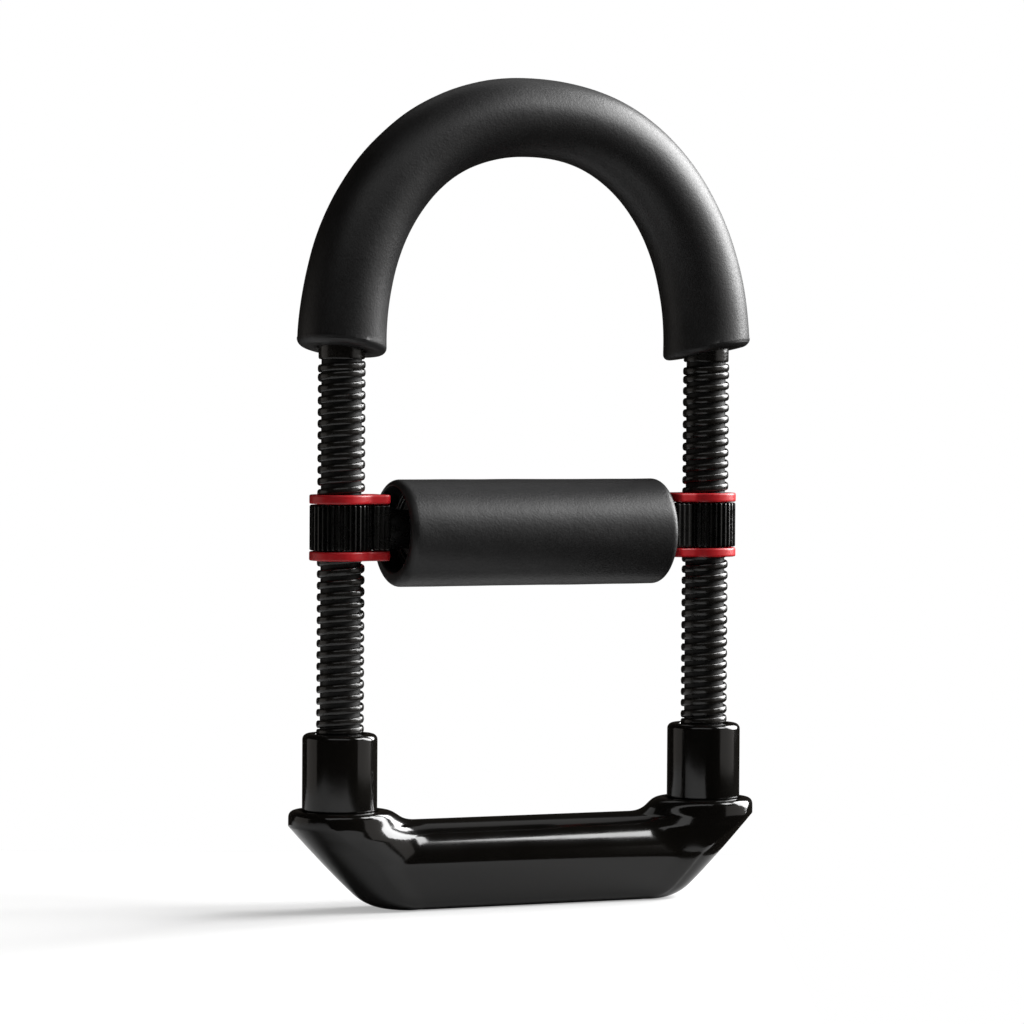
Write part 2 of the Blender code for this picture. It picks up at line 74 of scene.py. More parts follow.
LEG_X = (COLLAR_LOW.x + COLLAR_HIGH.x) / 2
ROD_RADIUS = ROD_HIGH.x - LEG_X
CROWN_Z = ROD_HIGH.z - ROD_RADIUS
ARCH_SPRING_Z = 170.0 * MM  # the legs are straight up to here
ARCH_FULLNESS = 2.18  # 2 is an ellipse, more is squarer
FOAM_END_RADIUS = FOAM_HIGH.x - LEG_X
FOAM_CROWN_RADIUS = FOAM_HIGH.z - CROWN_Z
FOAM_END_Z = 171.5 * MM
FOAM_END_SLANT = 0.16  # rise of the cut from the inner to the outer side of a leg
FOAM_END_TILT = 0.7  # rise from back to front, as a share of the slant
WHEEL_Z = (WHEEL_LOW.z + WHEEL_HIGH.z) / 2
WHEEL_RADIUS = WHEEL_HIGH.y
HANDLE_Z = (CORE_LOW.z + CORE_HIGH.z) / 2
BORE_RADIUS = 7.8 * MM  # clear of the spring, in the wheels and plates
GAP = 0.3 * MM  # left between a bore and what goes through it


# ---------------------------------------------------------------- mesh helpers


def circle(radius, count):
    angles = np.arange(count) * 2 * np.pi / count
    return radius * np.cos(angles), radius * np.sin(angles)


def make_object(name, points, faces, material, smooth_angle=40):
    """A mesh with its faces turned outward, smooth except where they meet at more than smooth_angle."""
    mesh = bpy.data.meshes.new(name)
    mesh.from_pydata(np.asarray(points, float).tolist(), [], faces)
    bm = bmesh.new()
    bm.from_mesh(mesh)
    bmesh.ops.recalc_face_normals(bm, faces=bm.faces)
    bm.to_mesh(mesh)
    bm.free()
    mesh.shade_smooth()
    mesh.set_sharp_from_angle(angle=math.radians(smooth_angle))
    mesh.materials.append(material)
    obj = bpy.data.objects.new(name, mesh)
    bpy.context.scene.collection.objects.link(obj)
    return obj


def loft(name, rings, material, closed=False, smooth_angle=40):
    """Rings of equally many points joined in order: closed back on the first, or capped with a fan."""
    rings = np.asarray(rings, float)
    ring_count, point_count = rings.shape[:2]
    points = rings.reshape(-1, 3)
    index = np.arange(ring_count * point_count).reshape(ring_count, point_count)
    if closed:
        index = np.vstack([index, index[:1]])
    lower = index[:-1]
    upper = index[1:]
    quads = np.stack([lower, np.roll(lower, -1, 1), np.roll(upper, -1, 1), upper], axis=-1)
    faces = quads.reshape(-1, 4).tolist()
    if not closed:
        points = np.vstack([points, rings[0].mean(0), rings[-1].mean(0)])
        for ring, middle in ((index[0], len(points) - 2), (index[-1], len(points) - 1)):
            faces += [[int(a), int(b), middle] for a, b in zip(ring, np.roll(ring, -1))]
    return make_object(name, points, faces, material, smooth_angle)


def rounded(profile, radii, steps=5):
    """A closed outline with each corner replaced by an arc of its own radius."""
    result = []
    count = len(profile)
    for i, (corner, radius) in enumerate(zip(profile, radii)):
        corner = np.array(corner, float)
        if radius <= 0:
            result.append(corner)
            continue
        before = np.array(profile[i - 1], float) - corner
        after = np.array(profile[(i + 1) % count], float) - corner
        before /= np.linalg.norm(before)
        after /= np.linalg.norm(after)
        half = math.acos(np.clip(before @ after, -1, 1)) / 2
        reach = radius / math.tan(half)
        centre = corner + (before + after) / np.linalg.norm(before + after) * radius / math.sin(half)
        start = corner + before * reach - centre
        end = corner + after * reach - centre
        sweep = math.pi - 2 * half
        for step in range(steps + 1):
            share = step / steps
            point = math.sin((1 - share) * sweep) * start + math.sin(share * sweep) * end
            result.append(centre + point / math.sin(sweep))
    return result


def turned(name, profile, centre, axis, material, count=96, smooth_angle=40):
    """A closed (radius, place) outline turned about an axis (0 for X, 2 for Z) through centre."""
    rings = []
    for radius, place in profile:
        u, v = circle(radius, count)
        ring = np.zeros((count, 3))
        others = [i for i in range(3) if i != axis]
        ring[:, others[0]] = u
        ring[:, others[1]] = v
        ring[:, axis] = place
        rings.append(ring + np.array(centre, float))
    return loft(name, rings, material, closed=True, smooth_angle=smooth_angle)


def surface_of(name, field, low, high, cell, material, smooth_angle=40):
    """The zero surface of a distance field as a mesh of quads (surface nets), drawn tight onto it."""
    axes = [np.arange(a - 2 * cell, b + 3 * cell, cell) for a, b in zip(low, high)]
    grid = np.stack(np.meshgrid(*axes, indexing="ij"), axis=-1)
    values = field(grid)
    inside = values < 0
    corners = [(a, b, c) for a in (0, 1) for b in (0, 1) for c in (0, 1)]

    def shifted(array, offset):
        return array[tuple(slice(o, array.shape[i] - 1 + o) for i, o in enumerate(offset))]

    count = sum(shifted(inside, c).astype(int) for c in corners)
    crossed = (count > 0) & (count < 8)
    total = np.zeros(crossed.shape + (3,))
    hits = np.zeros(crossed.shape)
    for a in corners:
        for axis in range(3):
            if a[axis]:
                continue
            b = tuple(1 if i == axis else a[i] for i in range(3))
            va = shifted(values, a)
            vb = shifted(values, b)
            hit = (va < 0) != (vb < 0)
            share = np.where(hit, va / np.where(va == vb, 1, va - vb), 0)[..., None]
            edge = shifted(grid, a) * (1 - share) + shifted(grid, b) * share
            total += np.where(hit[..., None], edge, 0)
            hits += hit
    points = (total / np.maximum(hits, 1)[..., None])[crossed]
    number = np.full(crossed.shape, -1)
    number[crossed] = np.arange(len(points))
    faces = []
    for axis in range(3):
        u, v = (axis + 1) % 3, (axis + 2) % 3
        first = np.take(inside, range(inside.shape[axis] - 1), axis)
        second = np.take(inside, range(1, inside.shape[axis]), axis)
        places = np.argwhere(first != second)
        places = places[(places[:, u] > 0) & (places[:, v] > 0)]
        quad = []
        for du, dv in ((-1, -1), (0, -1), (0, 0), (-1, 0)):
            cell_at = places.copy()
            cell_at[:, u] += du
            cell_at[:, v] += dv
            quad.append(number[tuple(cell_at.T)])
        quad = np.stack(quad, axis=1)
        leaving = first[tuple(places.T)]
        faces.append(np.where(leaving[:, None], quad, quad[:, ::-1]))
    step = 0.2 * cell
    for _ in range(4):
        value = field(points)
        slope = np.zeros_like(points)
        for axis in range(3):
            nudge = np.zeros(3)
            nudge[axis] = step
            slope[:, axis] = (field(points + nudge) - field(points - nudge)) / (2 * step)
        length = np.maximum((slope**2).sum(1), 0.05)
        points = points - np.clip(value / length, -cell / 2, cell / 2)[:, None] * slope
    return make_object(name, points, np.vstack(faces).tolist(), material, smooth_angle)


def wobble(obj, amount, scale):
    """The slight unevenness of soft foam: every point moves a little along its normal."""
    mesh = obj.data
    points = np.empty(len(mesh.vertices) * 3)
    mesh.vertices.foreach_get("co", points)
    points = points.reshape(-1, 3)
    normals = np.array([tuple(vertex.normal) for vertex in mesh.vertices])
    coarse = np.array([noise.noise(Vector(p * scale)) for p in points])
    fine = np.array([noise.noise(Vector(p * scale * 2.4)) for p in points])
    push = (coarse + 0.5 * fine)[:, None]
    mesh.vertices.foreach_set("co", (points + amount * push * normals).ravel())
    mesh.update()


def smooth_union(a, b, blend):
    h = np.clip(0.5 + 0.5 * (b - a) / blend, 0, 1)
    return b * (1 - h) + a * h - blend * h * (1 - h)


def smooth_cut(a, b, blend):
    """a with b taken away."""
    return -smooth_union(-a, b, blend)


def smooth_common(a, b, blend):
    return -smooth_union(-a, -b, blend)


# ---------------------------------------------------------------- materials


def new_material(name, colour, roughness, **inputs):
    material = bpy.data.materials.new(name)
    material.use_nodes = True
    shader = material.node_tree.nodes["Principled BSDF"]
    shader.inputs["Base Color"].default_value = (*colour, 1.0)
    shader.inputs["Roughness"].default_value = roughness
    for socket, value in inputs.items():
        shader.inputs[socket.replace("_", " ")].default_value = value
    return material


def noise_texture(material, scale, detail, stretch=(1, 1, 1)):
    """Noise on the piece's own coordinates: scale is in waves a metre."""
    nodes, links = material.node_tree.nodes, material.node_tree.links
    coordinates = nodes.new("ShaderNodeTexCoord")
    mapping = nodes.new("ShaderNodeMapping")
    mapping.inputs["Scale"].default_value = stretch
    links.new(coordinates.outputs["Object"], mapping.inputs["Vector"])
    node = nodes.new("ShaderNodeTexNoise")
    node.inputs["Scale"].default_value = scale
    node.inputs["Detail"].default_value = detail
    links.new(mapping.outputs["Vector"], node.inputs["Vector"])
    return node


def ramp(material, source, stops, socket):
    """Noise turned into the colours or numbers of one shader socket."""
    nodes, links = material.node_tree.nodes, material.node_tree.links
    node = nodes.new("ShaderNodeValToRGB")
    elements = node.color_ramp.elements
    for element, (place, value) in zip(elements, stops):
        element.position = place
        element.color = (*value, 1.0) if isinstance(value, tuple) else (value, value, value, 1.0)
    links.new(source.outputs["Fac"], node.inputs["Fac"])
    links.new(node.outputs["Color"], nodes["Principled BSDF"].inputs[socket])


def bump(material, source, distance, before=None):
    """A bump from noise, stacked on an earlier one."""
    nodes, links = material.node_tree.nodes, material.node_tree.links
    node = nodes.new("ShaderNodeBump")
    node.inputs["Distance"].default_value = distance
    node.inputs["Strength"].default_value = 1.0
    links.new(source.outputs["Fac"], node.inputs["Height"])
    if before:
        links.new(before.outputs["Normal"], node.inputs["Normal"])
    links.new(node.outputs["Normal"], nodes["Principled BSDF"].inputs["Normal"])
    return node


def foam_material():
    """Closed-cell foam: matte, with a fine pebbled skin."""
    material = new_material("foam_skin", (0.009, 0.009, 0.0095), 0.45, Specular_IOR_Level=0.45)
    mottle = noise_texture(material, 160, 3)
    dark, light = (0.0065, 0.0065, 0.007), (0.0105, 0.0105, 0.011)
    ramp(material, mottle, ((0.3, dark), (0.7, light)), "Base Color")
    pebble = noise_texture(material, 1500, 2)
    ramp(material, pebble, ((0.25, 0.40), (0.75, 0.52)), "Roughness")
    swell = noise_texture(material, 450, 2)
    first = bump(material, swell, 0.05 * MM)
    bump(material, pebble, 0.05 * MM, before=first)
    return material


def gloss_material():
    """Black enamel: nearly mirror-smooth, with a faint unevenness in the coat."""
    material = new_material("gloss_enamel", (0.003, 0.0027, 0.0024), 0.06, IOR=1.5)
    haze = noise_texture(material, 60, 3)
    ramp(material, haze, ((0.3, 0.10), (0.75, 0.16)), "Roughness")
    tint = noise_texture(material, 25, 2)
    ramp(material, tint, ((0.3, (0.002, 0.0018, 0.0016)), (0.7, (0.004, 0.0036, 0.003))), "Base Color")
    peel = noise_texture(material, 220, 1)
    bump(material, peel, 0.012 * MM)
    return material


def coated_wire_material():
    """Black coated wire, with fine lines along it."""
    material = new_material("coated_wire", (0.011, 0.011, 0.011), 0.22)
    patches = noise_texture(material, 260, 4)
    ramp(material, patches, ((0.3, 0.16), (0.75, 0.34)), "Roughness")
    tone = noise_texture(material, 120, 3)
    ramp(material, tone, ((0.3, (0.006, 0.0055, 0.005)), (0.7, (0.012, 0.011, 0.0095))), "Base Color")
    drawn = noise_texture(material, 900, 2, stretch=(0.25, 0.25, 1.6))
    bump(material, drawn, 0.07 * MM)
    return material


def dull_paint_material():
    """Satin black paint, on the tube inside the springs."""
    material = new_material("dull_paint", (0.008, 0.008, 0.008), 0.5, Specular_IOR_Level=0.3)
    tone = noise_texture(material, 180, 3)
    ramp(material, tone, ((0.3, (0.003, 0.003, 0.003)), (0.7, (0.006, 0.006, 0.0055))), "Base Color")
    ramp(material, tone, ((0.3, 0.44), (0.7, 0.6)), "Roughness")
    orange_peel = noise_texture(material, 900, 2)
    bump(material, orange_peel, 0.01 * MM)
    return material


def black_plastic_material():
    """Moulded plastic with a soft gloss."""
    material = new_material("black_plastic", (0.010, 0.010, 0.010), 0.3)
    grain = noise_texture(material, 500, 3)
    ramp(material, grain, ((0.3, 0.24), (0.7, 0.34)), "Roughness")
    tone = noise_texture(material, 150, 2)
    ramp(material, tone, ((0.3, (0.004, 0.004, 0.004)), (0.7, (0.008, 0.008, 0.0075))), "Base Color")
    bump(material, grain, 0.006 * MM)
    return material


def red_plastic_material():
    """Moulded red plastic, semi-gloss."""
    material = new_material("red_plastic", (0.50, 0.010, 0.016), 0.34)
    tone = noise_texture(material, 140, 3)
    ramp(material, tone, ((0.3, (0.42, 0.008, 0.013)), (0.7, (0.56, 0.014, 0.02))), "Base Color")
    grain = noise_texture(material, 900, 3)
    ramp(material, grain, ((0.3, 0.28), (0.7, 0.44)), "Roughness")
    bump(material, grain, 0.01 * MM)
    return material


def bright_steel_material():
    """Zinc-plated steel, on the pins and washers that stay inside."""
    material = new_material("zinc_steel", (0.50, 0.50, 0.52), 0.35, Metallic=1.0)
    tone = noise_texture(material, 400, 4)
    ramp(material, tone, ((0.3, (0.40, 0.40, 0.42)), (0.7, (0.58, 0.58, 0.60))), "Base Color")
    ramp(material, tone, ((0.3, 0.28), (0.7, 0.46)), "Roughness")
    return material


FOAM = foam_material()
GLOSS = gloss_material()
WIRE = coated_wire_material()
DULL = dull_paint_material()
PLASTIC = black_plastic_material()
RED = red_plastic_material()
STEEL = bright_steel_material()


# ---------------------------------------------------------------- frame tube and foam arch


def arch_point(angle):
    """A point of the arch's axis: angle runs from 0 on the right leg to pi on the left leg."""
    power = 2 / ARCH_FULLNESS
    across = math.copysign(abs(math.cos(angle)) ** power, math.cos(angle))
    rise = abs(math.sin(angle)) ** power
    return np.array((LEG_X * across, 0, ARCH_SPRING_Z + (CROWN_Z - ARCH_SPRING_Z) * rise))


def arch_stations(steps, low_z):
    """Left to right: centre, inward direction, and share of the arch (0 on the legs, 1 at the crown)."""
    fine = np.linspace(math.pi, 0, 2001)
    curve = np.array([arch_point(angle) for angle in fine])
    travel = np.concatenate([[0], np.cumsum(np.linalg.norm(np.diff(curve, axis=0), axis=1))])
    stations = []
    leg_steps = max(3, round((ARCH_SPRING_Z - low_z) / (3 * MM)))
    leg = []
    if low_z < ARCH_SPRING_Z:
        leg = [low_z + (ARCH_SPRING_Z - low_z) * i / leg_steps for i in range(leg_steps)]
    for z in leg:
        stations.append(((-LEG_X, 0.0, z), (1.0, 0.0, 0.0), 0.0))
    for i in range(steps + 1):
        angle = float(np.interp(travel[-1] * i / steps, travel, fine))
        centre = arch_point(angle)
        if centre[2] < low_z:
            continue
        along = arch_point(max(angle - 0.01, 0)) - arch_point(min(angle + 0.01, math.pi))
        inward = np.array((along[2], 0, -along[0]))
        inward /= np.linalg.norm(inward)
        stations.append((tuple(centre), tuple(inward), math.sin(angle)))
    for z in reversed(leg):
        stations.append(((LEG_X, 0.0, z), (-1.0, 0.0, 0.0), 0.0))
    return stations


def arch_ring(station, radius, count, slant=0.0):
    centre, inward, _ = station
    u, v = circle(radius, count)
    ring = np.array(centre) + u[:, None] * np.array(inward) + v[:, None] * np.array((0, 1, 0))
    ring[:, 2] -= slant * (u + FOAM_END_TILT * v)
    return ring


def make_rod():
    rings = [arch_ring(s, ROD_RADIUS, 64) for s in arch_stations(96, ROD_LOW.z)]
    rod = loft("rod_legs_and_arch", rings, DULL)
    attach(rod, "frame")
    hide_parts("u_frame_tube")


def make_arch_foam():
    """The sleeve, with a rounded, slanted mouth at each end and the slight waviness of bent foam."""
    count = 128
    edge = 2.2 * MM
    mouth_radius = STOP_HIGH.y + GAP
    mouth_top = STOP_HIGH.z + GAP

    def foot(sign, z, radius, slant):
        return arch_ring(((sign * LEG_X, 0.0, z), (-float(sign), 0.0, 0.0), 0.0), radius, count, slant)

    skin = []
    fade_length = 12 * MM  # over which the skin's rings go from slanted to square
    low = FOAM_END_Z + 3.2 * MM
    for station in arch_stations(180, low):
        radius = FOAM_END_RADIUS + (FOAM_CROWN_RADIUS - FOAM_END_RADIUS) * station[2]
        fade = min(1.0, max(0.0, (station[0][2] - low) / fade_length))
        slant = FOAM_END_SLANT * (1 - fade) if station[2] == 0 else 0.0
        skin.append(arch_ring(station, radius, count, slant))
    bore = [arch_ring(s, ROD_RADIUS + GAP, count) for s in arch_stations(60, mouth_top)]
    turns = np.linspace(0, math.pi / 2, 9)
    corner = [(edge * (1 - math.sin(a)), edge * (1 - math.cos(a))) for a in turns]

    def mouth(sign):
        """From the skin's edge round the corner, across the end face and up into the bore."""
        rings = [
            foot(sign, FOAM_END_Z + height, FOAM_END_RADIUS - inset, FOAM_END_SLANT)
            for height, inset in corner
        ]
        rings.append(foot(sign, FOAM_END_Z, (FOAM_END_RADIUS + mouth_radius) / 2, FOAM_END_SLANT))
        rings.append(foot(sign, FOAM_END_Z + 0.1 * MM, mouth_radius + 0.5 * MM, FOAM_END_SLANT))
        rings.append(foot(sign, FOAM_END_Z + 0.6 * MM, mouth_radius, FOAM_END_SLANT))
        rings.append(foot(sign, mouth_top, mouth_radius, 0.0))
        return rings

    rings = [*skin, *mouth(1), *reversed(bore), *reversed(mouth(-1))]
    foam = loft("arch_foam_sleeve", rings, FOAM, closed=True, smooth_angle=60)
    wobble(foam, 0.22 * MM, 34)
    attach(foam, "frame")
    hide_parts("arch_foam_grip")


# ---------------------------------------------------------------- base and collars

SOLE_END = 47.0 * MM
SOLE_HALF_WIDTH = 10.0 * MM
BAR_RADIUS = 13.0 * MM
BAR_AXIS_Z = 14.3 * MM
PAD_RADIUS = BASE_HIGH.y
PAD_RIM_Z = 26.2 * MM
PAD_TOP_Z = BASE_HIGH.z
RECESS_Z = COLLAR_LOW.z - GAP
NOSE_START = SOLE_END - 6 * MM  # the centre of the rounded ends, at the sole
NOSE_SLOPE = 0.85  # under 1, the underside bulges as it rises
ELBOW_Z = 15 * MM  # above this the bar and the pads flow into each other


def base_field(points):
    """Distance to the base: a round-topped bar whose ends widen and rise into two round pads."""
    x = np.abs(points[..., 0])
    y = np.abs(points[..., 1])
    z = points[..., 2]
    crown = np.hypot(y, np.maximum(z - BAR_AXIS_Z, 0)) - BAR_RADIUS
    flare = (BAR_RADIUS - SOLE_HALF_WIDTH) / BAR_AXIS_Z
    side = (y - SOLE_HALF_WIDTH - flare * z) / math.hypot(1, flare)
    bar = smooth_common(crown, side, 0.25 * MM)

    rise = np.clip(z / PAD_RIM_Z, 0, 1)
    middle = NOSE_START + (LEG_X - NOSE_START) * rise**NOSE_SLOPE
    bar = np.maximum(bar, (x - middle) / 1.4)
    reach = SOLE_HALF_WIDTH + (PAD_RADIUS - SOLE_HALF_WIDTH) * rise
    across = np.hypot(x - middle, y)
    outward = np.where(across > 0, (x - middle) / np.maximum(across, 1e-9), 0)
    widening = (PAD_RADIUS - SOLE_HALF_WIDTH) / PAD_RIM_Z
    steep = widening + (LEG_X - NOSE_START) / PAD_RIM_Z * outward
    steep = np.where(z < PAD_RIM_Z, steep, 0)
    cone = (across - reach) / np.hypot(1, steep)

    blend = (2.0 + 8.0 * np.clip((z - ELBOW_Z) / (8 * MM), 0, 1)) * MM
    body = smooth_union(bar, cone, blend)
    body = smooth_common(body, z - PAD_TOP_Z, 2.4 * MM)
    body = smooth_common(body, -z, 4.5 * MM)
    recess = np.maximum(np.hypot(x - LEG_X, y) - (COLLAR_HIGH.y + 0.5 * MM), RECESS_Z - z)
    return smooth_cut(body, recess, 0.8 * MM)


def make_base():
    low = (BASE_LOW.x, BASE_LOW.y, 0)
    base = surface_of("cast_base", base_field, low, tuple(BASE_HIGH), 0.7 * MM, GLOSS, 75)
    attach(base, "frame")
    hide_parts("base_bar")


def make_collar(side, sign):
    """A glossy tube with a rounded rim and a mouth that takes the spring's last coils."""
    outer = COLLAR_HIGH.y
    bore = ROD_RADIUS + GAP
    top = COLLAR_HIGH.z
    floor = top - 3.5 * MM
    mouth = 8.0 * MM
    outline = [(bore, COLLAR_LOW.z), (outer, COLLAR_LOW.z), (outer, top)]
    outline += [(mouth, top), (mouth, floor), (bore, floor)]
    radii = [0, 1.2 * MM, 1.8 * MM, 0.8 * MM, 0, 0]
    profile = rounded(outline, radii, 8)
    collar = turned(f"{side}_gloss_collar", profile, (sign * LEG_X, 0, 0), 2, GLOSS, 128)
    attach(collar, "frame")
    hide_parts(f"{side}_collar")


# ---------------------------------------------------------------- springs and stops

WIRE_HALF_HEIGHT = 1.16 * MM
WIRE_HALF_DEPTH = 0.60 * MM
COIL_RADIUS = SPRING_HIGH.y - WIRE_HALF_DEPTH
COIL_PITCH = 3.5 * MM
CLOSED_TURNS = 1.25
STEPS_PER_TURN = 48


def spring_stations():
    """Angle and height along the wire: closed end coils, then an even pitch."""
    bottom = SPRING_LOW.z + WIRE_HALF_HEIGHT
    top = SPRING_HIGH.z - WIRE_HALF_HEIGHT
    closed_pitch = 2 * WIRE_HALF_HEIGHT + 0.03 * MM
    closed = CLOSED_TURNS * closed_pitch
    active = round((top - bottom - 2 * closed) / COIL_PITCH * 2) / 2
    pitch = (top - bottom - 2 * closed) / active
    turn = np.arange(0, 2 * CLOSED_TURNS + active, 1 / STEPS_PER_TURN)
    lower = np.minimum(turn, CLOSED_TURNS)
    upper = np.maximum(turn - CLOSED_TURNS - active, 0)
    z = bottom + (lower + upper) * closed_pitch + (turn - lower - upper) * pitch
    return turn * 2 * np.pi, z


def make_spring(side, sign):
    """One wire in two lengths that meet inside the wheel."""
    angle, z = spring_stations()
    section_u, section_v = circle(1.0, 18)
    section_u = section_u * WIRE_HALF_DEPTH
    section_v = np.sign(section_v) * np.abs(section_v) ** 0.8 * WIRE_HALF_HEIGHT
    overlap = 0.5 * MM
    hidden = 8.0 * MM  # a length for the wire's ends inside the collar and the foam
    hold = 4.0 * MM  # half of the length that the wheel's thread holds
    parts = (
        ("upper", z > WHEEL_Z - overlap, WHEEL_Z + hold, SPRING_HIGH.z + hidden),
        ("lower", z < WHEEL_Z + overlap, WHEEL_Z - hold, SPRING_LOW.z - hidden),
    )
    for part, chosen, moving_z, fixed_z in parts:
        rings = []
        for a, height in zip(angle[chosen], z[chosen]):
            out = np.array((math.cos(a), math.sin(a), 0))
            centre = out * COIL_RADIUS + np.array((sign * LEG_X, 0, height))
            rings.append(centre + section_u[:, None] * out + section_v[:, None] * np.array((0, 0, 1)))
        coil = loft(f"{side}_coil_{part}", rings, WIRE)
        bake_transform(coil)
        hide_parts(f"{side}_spring")


def make_stop(side, sign):
    outer = STOP_HIGH.y
    bore = ROD_RADIUS + GAP
    outline = [(bore, STOP_LOW.z), (outer, STOP_LOW.z), (outer, STOP_HIGH.z), (bore, STOP_HIGH.z)]
    profile = rounded(outline, [0, 0.6 * MM, 0.3 * MM, 0])
    stop = turned(f"{side}_stop_ring", profile, (sign * LEG_X, 0, 0), 2, WIRE)
    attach(stop, "frame")
    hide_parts(f"{side}_spring_stop")


# ---------------------------------------------------------------- handle

SPIGOT_RADIUS = 6.0 * MM
ARM_HALF_WIDTH = 7.5 * MM
HUB_HALF_WIDTH = 7.0 * MM
HUB_NEAR = 8.0 * MM  # from the leg's axis to the hub's block
HUB_FAR = 13.7 * MM
HUB_CLEARANCE = 0.35 * MM  # round the wheel
WHEEL_RIBS = 34

def make_handle_foam():
    """The foam tube: rounded ends, and an outside that hangs a little lower than its bore."""
    count = 160
    bore = CORE_HIGH.y + GAP
    radius = GRIP_HIGH.y
    sag = HANDLE_Z - (GRIP_LOW.z + GRIP_HIGH.z) / 2
    end = GRIP_HIGH.x
    edge = 2.4 * MM
    lip = 0.7 * MM
    right = [(end - 9 * MM, bore), (end - lip, bore)]
    for a in np.linspace(0.3, 1.5, 4):
        right.append((end - lip * (1 - math.sin(a)), bore + lip * (1 - math.cos(a))))
    right.append((end, (bore + radius) / 2 - 0.3 * MM))
    for a in np.linspace(0, math.pi / 2, 10):
        right.append((end - edge * (1 - math.cos(a)), radius - edge * (1 - math.sin(a))))
    right += [(x, radius) for x in np.linspace(end - edge - 1 * MM, 0, 60)]
    left = [(-x, r) for x, r in reversed(right[:-1])]
    rings = []
    for x, r in right + left:
        u, v = circle(r, count)
        drop = sag * min(1.0, max(0.0, (r - bore) / (2 * MM)))
        rings.append(np.stack([np.full(count, x), u, v + HANDLE_Z - drop], axis=1))
    foam = loft("handle_foam_tube", rings, FOAM, closed=True, smooth_angle=60)
    wobble(foam, 0.15 * MM, 30)
    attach(foam, "handle")
    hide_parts("handle_foam_grip")


def make_core():
    wall = 1.5 * MM
    inner = CORE_HIGH.y - wall
    end = CORE_HIGH.x
    outline = [(inner, -end), (CORE_HIGH.y, -end), (CORE_HIGH.y, end), (inner, end)]
    radii = [0.3 * MM] * 4
    tube = turned("core_tube_fine", rounded(outline, radii), (0, 0, HANDLE_Z), 0, PLASTIC)
    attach(tube, "handle")
    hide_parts("handle_core_tube")


def make_plug(side, sign):
    """A bush round the hub's spigot, with a shallow groove in its end face."""
    inner = SPIGOT_RADIUS + GAP
    outer = PLUG_HIGH.y
    near = sign * PLUG_LOW.x
    far = sign * PLUG_HIGH.x
    groove = (8.5 * MM, 9.8 * MM)
    groove_floor = far - sign * 1.2 * MM
    outline = [(inner, far), (groove[0], far), (groove[0], groove_floor), (groove[1], groove_floor)]
    outline += [(groove[1], far), (outer, far), (outer, near), (inner, near)]
    radii = [0.3 * MM, 0.3 * MM, 0.2 * MM, 0.2 * MM, 0.3 * MM, 0.5 * MM, 0.3 * MM, 0]
    plug = turned(f"{side}_plug_fine", rounded(outline, radii), (0, 0, HANDLE_Z), 0, PLASTIC)
    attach(plug, "handle")
    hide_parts(f"{side}_end_plug")


def plate_plan(inward, y):
    """Distance to a guide plate's outline in plan: a disc round the leg and an arm with soft corners."""
    disc = np.hypot(inward, y) - PLATE_HIGH.y
    half_length = (LEG_X - PLATE_LOW.x) / 2
    corner = 2.4 * MM
    dx = np.abs(inward - half_length) - half_length + corner
    dy = np.abs(y) - ARM_HALF_WIDTH + corner
    arm = np.hypot(np.maximum(dx, 0), np.maximum(dy, 0)) + np.minimum(np.maximum(dx, dy), 0) - corner
    return smooth_union(disc, arm, 1.0 * MM)


def make_plate(side, sign, place):
    """A red guide plate with softened edges, above or below the wheel."""
    low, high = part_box(f"{side}_{place}_plate")
    middle = (low.z + high.z) / 2
    half = (high.z - low.z) / 2
    soft = 0.5 * MM

    def field(points):
        inward = -sign * (points[..., 0] - sign * LEG_X)
        y = points[..., 1]
        plate = smooth_common(plate_plan(inward, y), np.abs(points[..., 2] - middle) - half, soft)
        return smooth_cut(plate, np.hypot(inward, y) - BORE_RADIUS, soft)

    plate = surface_of(f"{side}_{place}_guide", field, tuple(low), tuple(high), 0.34 * MM, RED, 50)
    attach(plate, "handle")
    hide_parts(f"{side}_{place}_plate")


def make_hub(side, sign):
    """The block behind the wheel, with a few upright grooves, and its spigot into the handle."""
    low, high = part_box(f"{side}_hub")
    half = WHEEL_HIGH.z - WHEEL_Z
    end = LEG_X - HUB_LOW.x
    soft = 0.5 * MM
    groove_pitch = 1.7 * MM
    groove_depth = 0.35 * MM

    def field(points):
        inward = -sign * (points[..., 0] - sign * LEG_X)
        y = points[..., 1]
        z = points[..., 2] - WHEEL_Z
        groove = groove_depth * np.clip(np.cos(inward * 2 * math.pi / groove_pitch), -0.2, 1)
        ends = np.maximum(HUB_NEAR - inward, inward - HUB_FAR)
        block = smooth_common(ends, np.abs(y) - HUB_HALF_WIDTH + groove, soft)
        block = smooth_common(block, np.abs(z) - half, soft)
        block = smooth_cut(block, np.hypot(inward, y) - (WHEEL_RADIUS + HUB_CLEARANCE), soft)
        spigot = np.hypot(y, points[..., 2] - HANDLE_Z) - SPIGOT_RADIUS
        spigot = smooth_common(spigot, np.maximum(inward - end, HUB_FAR - 1 * MM - inward), soft)
        return np.minimum(block, spigot)

    hub = surface_of(f"{side}_grooved_hub", field, tuple(low), tuple(high), 0.34 * MM, PLASTIC, 50)
    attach(hub, "handle")
    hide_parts(f"{side}_hub")


